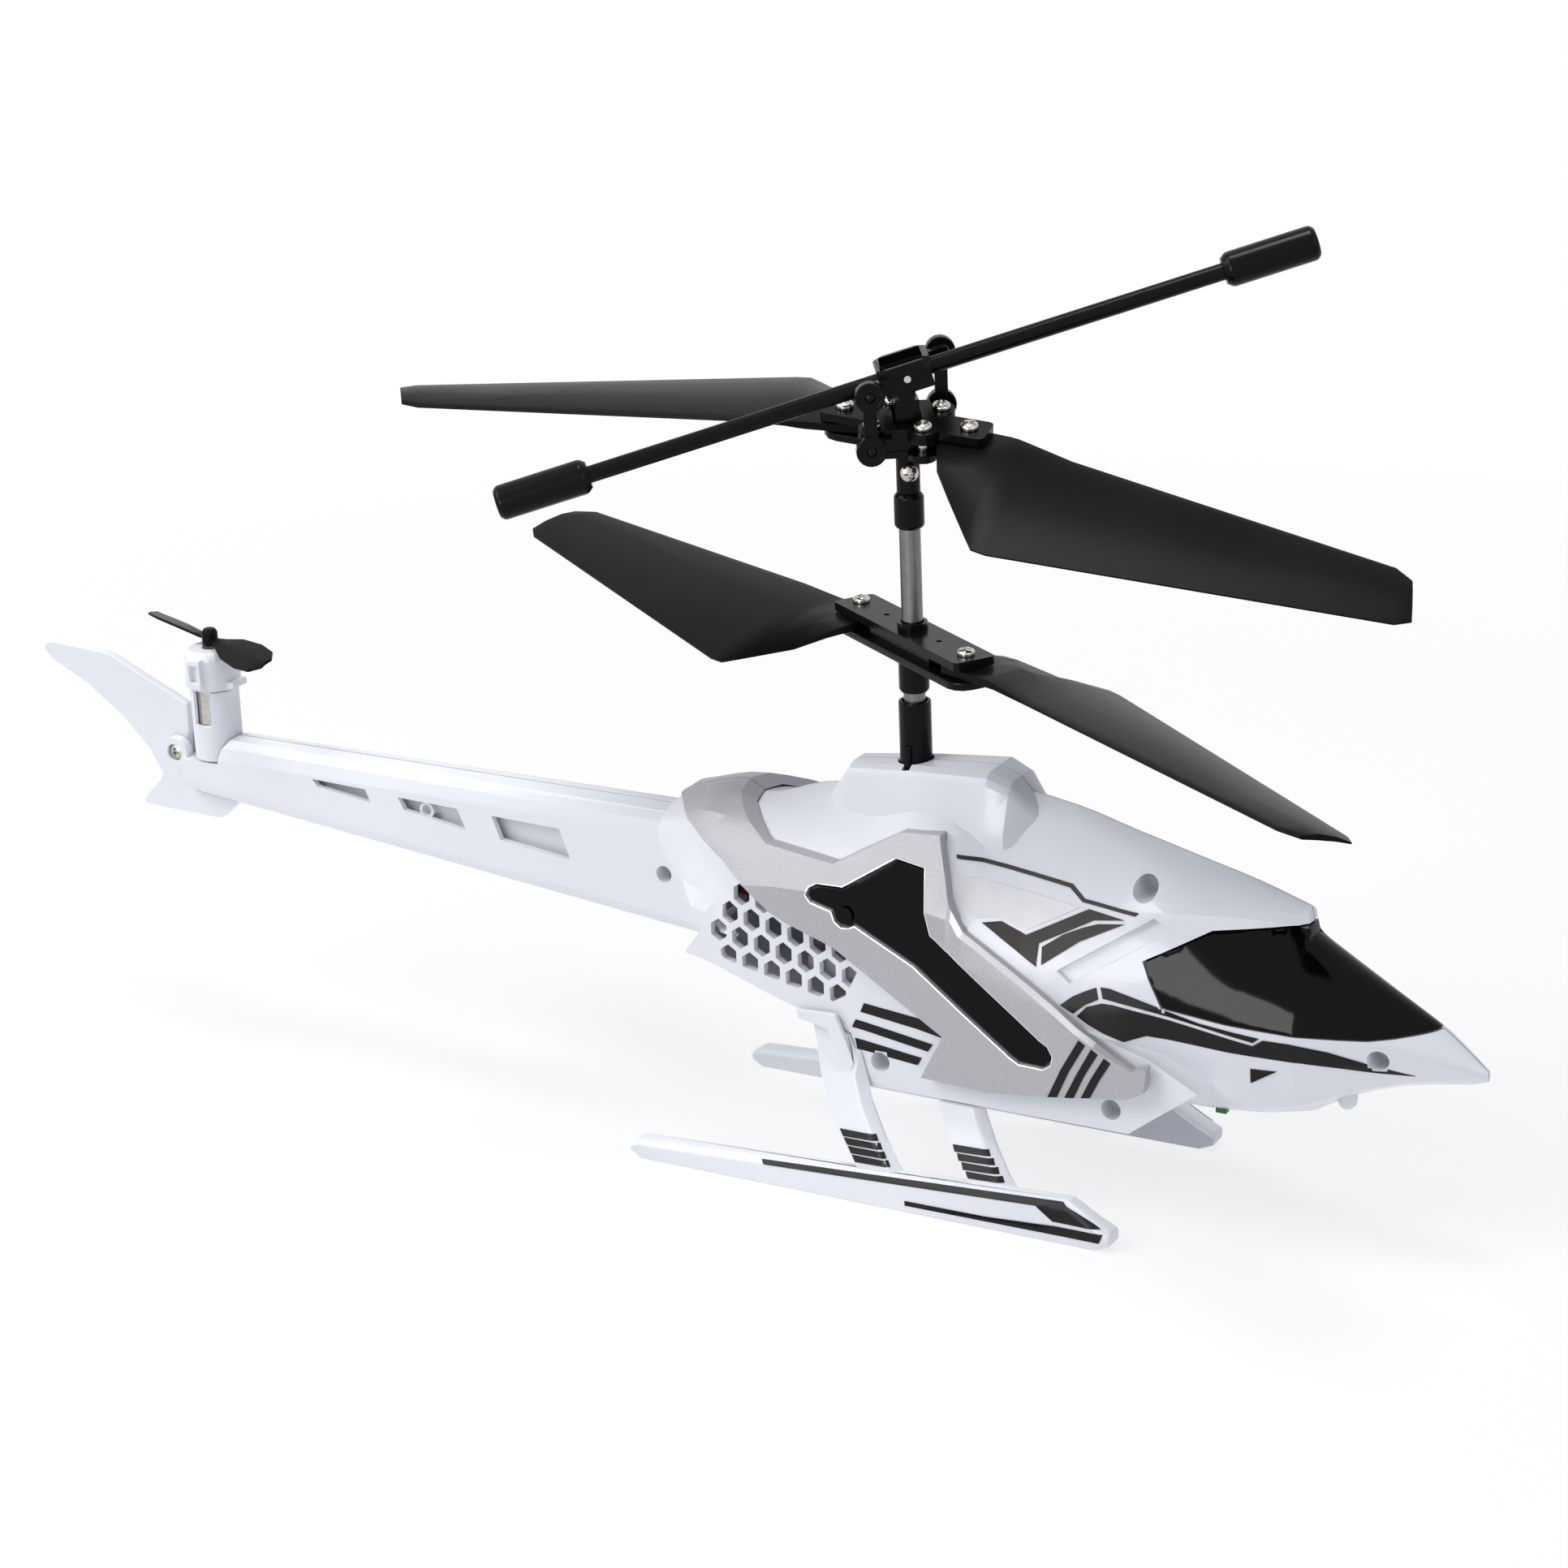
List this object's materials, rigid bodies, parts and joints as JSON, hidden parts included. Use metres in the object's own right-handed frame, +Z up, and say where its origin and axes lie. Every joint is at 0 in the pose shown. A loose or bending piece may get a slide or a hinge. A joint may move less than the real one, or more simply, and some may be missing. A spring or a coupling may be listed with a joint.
{
  "type": "remote control helicopter",
  "caption": "Toy coaxial helicopter with a two-part fuselage on skids, stacked rotors with folding blades, a tilting flybar head and an upright tail rotor.",
  "frame": {"origin": "on the ground under the middle of the overall length and width, at the skid soles", "axes": "+X towards the nose, +Y towards the left side, +Z up along the rotor mast"},
  "size_m": [0.24, 0.0644, 0.1336],
  "materials": {
    "white_plastic": "glossy moulded",
    "silver_paint": "metallic silver paint",
    "gloss_black": "polished black",
    "black_plastic": "satin moulded",
    "blade_plastic": "satin moulded",
    "steel": "turned steel",
    "gear_plastic": "moulded",
    "battery_foil": "foil pouch",
    "board_green": "solder mask",
    "clear_lamp": "clear",
    "red_wire": "smooth insulation"
  },
  "bodies": {
    "airframe": {"right_shell": "white_plastic", "left_shell": "white_plastic", "right_boom": "white_plastic", "left_boom": "white_plastic", "right_side_panel": "silver_paint", "left_side_panel": "silver_paint", "right_panel_insert": "gloss_black", "left_panel_insert": "gloss_black", "canopy_window": "gloss_black", "right_skid": "white_plastic", "left_skid": "white_plastic", "tail_fin": "white_plastic", "fin_screw": "steel", "tail_motor_mount": "white_plastic", "tail_motor": "steel", "tail_motor_cap": "white_plastic", "mast_sleeve": "black_plastic", "gearbox_frame": "black_plastic", "right_motor": "steel", "left_motor": "steel", "battery": "battery_foil", "circuit_board": "board_green", "nose_led": "clear_lamp", "switch_housing": "black_plastic", "tail_motor_wire": "red_wire"},
    "lower_rotor": {"outer_shaft": "steel", "lower_hub": "black_plastic", "lower_hub_cap": "black_plastic", "lower_blade_screw_right": "steel", "lower_blade_screw_left": "steel", "lower_rotor_gear": "gear_plastic"},
    "upper_rotor": {"inner_shaft": "steel", "shaft_spacer": "steel", "shaft_collar": "black_plastic", "upper_hub": "black_plastic", "hub_set_screw": "steel", "grip_pin": "steel", "flybar_pin": "steel", "upper_rotor_gear": "gear_plastic"},
    "grip": {"upper_grip": "black_plastic", "grip_base": "black_plastic", "grip_screw_right": "steel", "grip_screw_left": "steel", "upper_blade_screw_right": "steel", "upper_blade_screw_left": "steel"},
    "flybar": {"flybar_frame": "black_plastic", "flybar_rod_right": "black_plastic", "flybar_rod_left": "black_plastic", "flybar_weight_right": "black_plastic", "flybar_weight_left": "black_plastic"},
    "link_right": {"link_right": "black_plastic"},
    "link_left": {"link_left": "black_plastic"},
    "upper_blade_right": {"upper_blade_right": "blade_plastic"},
    "upper_blade_left": {"upper_blade_left": "blade_plastic"},
    "lower_blade_right": {"lower_blade_right": "blade_plastic"},
    "lower_blade_left": {"lower_blade_left": "blade_plastic"},
    "tail_rotor": {"tail_rotor": "blade_plastic"},
    "right_pinion": {"right_pinion": "gear_plastic"},
    "left_pinion": {"left_pinion": "gear_plastic"},
    "power_switch": {"switch_slider": "black_plastic"}
  },
  "joints": [
    {"name": "lower_rotor_spin", "type": "hinge", "parent": "airframe", "child": "lower_rotor", "pos_m": [0.0351, 0, 0.0778], "axis": [0, 0, 1], "continuous": true},
    {"name": "upper_rotor_spin", "type": "hinge", "parent": "airframe", "child": "upper_rotor", "pos_m": [0.0351, 0, 0.1086], "axis": [0, 0, 1], "continuous": true},
    {"name": "tail_rotor_spin", "type": "hinge", "parent": "airframe", "child": "tail_rotor", "pos_m": [-0.0874, 0, 0.0633], "axis": [0, 0, 1], "continuous": true},
    {"name": "right_pinion_spin", "type": "hinge", "parent": "airframe", "child": "right_pinion", "pos_m": [0.04549, -0.006, 0.0366], "axis": [0, 0, 1], "continuous": true},
    {"name": "left_pinion_spin", "type": "hinge", "parent": "airframe", "child": "left_pinion", "pos_m": [0.04549, 0.006, 0.0408], "axis": [0, 0, 1], "continuous": true},
    {"name": "flybar_teeter", "type": "hinge", "parent": "upper_rotor", "child": "flybar", "pos_m": [0.0351, 0, 0.1161], "axis": [-0.5392, 0.8422, 0], "range_deg": [0, 30.26]},
    {"name": "grip_tilt", "type": "hinge", "parent": "upper_rotor", "child": "grip", "pos_m": [0.0351, 0, 0.1086], "axis": [0.8422, 0.5392, 0], "range_deg": [-27.2, 0.2]},
    {"name": "link_right_swing", "type": "hinge", "parent": "flybar", "child": "link_right", "pos_m": [0.03637, 0.00804, 0.11756], "axis": [-0.5392, 0.8422, 0], "range_deg": [-30.4, 0.2]},
    {"name": "link_left_swing", "type": "hinge", "parent": "flybar", "child": "link_left", "pos_m": [0.03383, -0.00804, 0.11464], "axis": [-0.5392, 0.8422, 0], "range_deg": [-30.4, 0.2]},
    {"name": "upper_blade_right_fold", "type": "hinge", "parent": "grip", "child": "upper_blade_right", "pos_m": [0.04397, 0.00125, 0.10709], "axis": [0.1259, -0.1966, 0.9724], "range_deg": [-15, 15]},
    {"name": "upper_blade_left_fold", "type": "hinge", "parent": "grip", "child": "upper_blade_left", "pos_m": [0.02608, -0.00102, 0.10894], "axis": [0.1259, -0.1966, 0.9724], "range_deg": [-15, 15]},
    {"name": "lower_blade_right_fold", "type": "hinge", "parent": "lower_rotor", "child": "lower_blade_right", "pos_m": [0.0474, -0.00805, 0.0778], "axis": [0, 0, 1], "range_deg": [-45, 20]},
    {"name": "lower_blade_left_fold", "type": "hinge", "parent": "lower_rotor", "child": "lower_blade_left", "pos_m": [0.0228, 0.00805, 0.0778], "axis": [0, 0, 1], "range_deg": [-45, 20]},
    {"name": "power_switch_slide", "type": "slide", "parent": "airframe", "child": "power_switch", "axis": [1, 0, 0], "range_m": [0, 0.002]}
  ],
  "couplings": [
    {"joint": "right_pinion_spin", "follows": "upper_rotor_spin", "ratio": -5},
    {"joint": "left_pinion_spin", "follows": "lower_rotor_spin", "ratio": -5},
    {"joint": "grip_tilt", "follows": "flybar_teeter", "ratio": -0.89227},
    {"joint": "link_right_swing", "follows": "flybar_teeter", "ratio": -1},
    {"joint": "link_left_swing", "follows": "flybar_teeter", "ratio": -1}
  ]
}
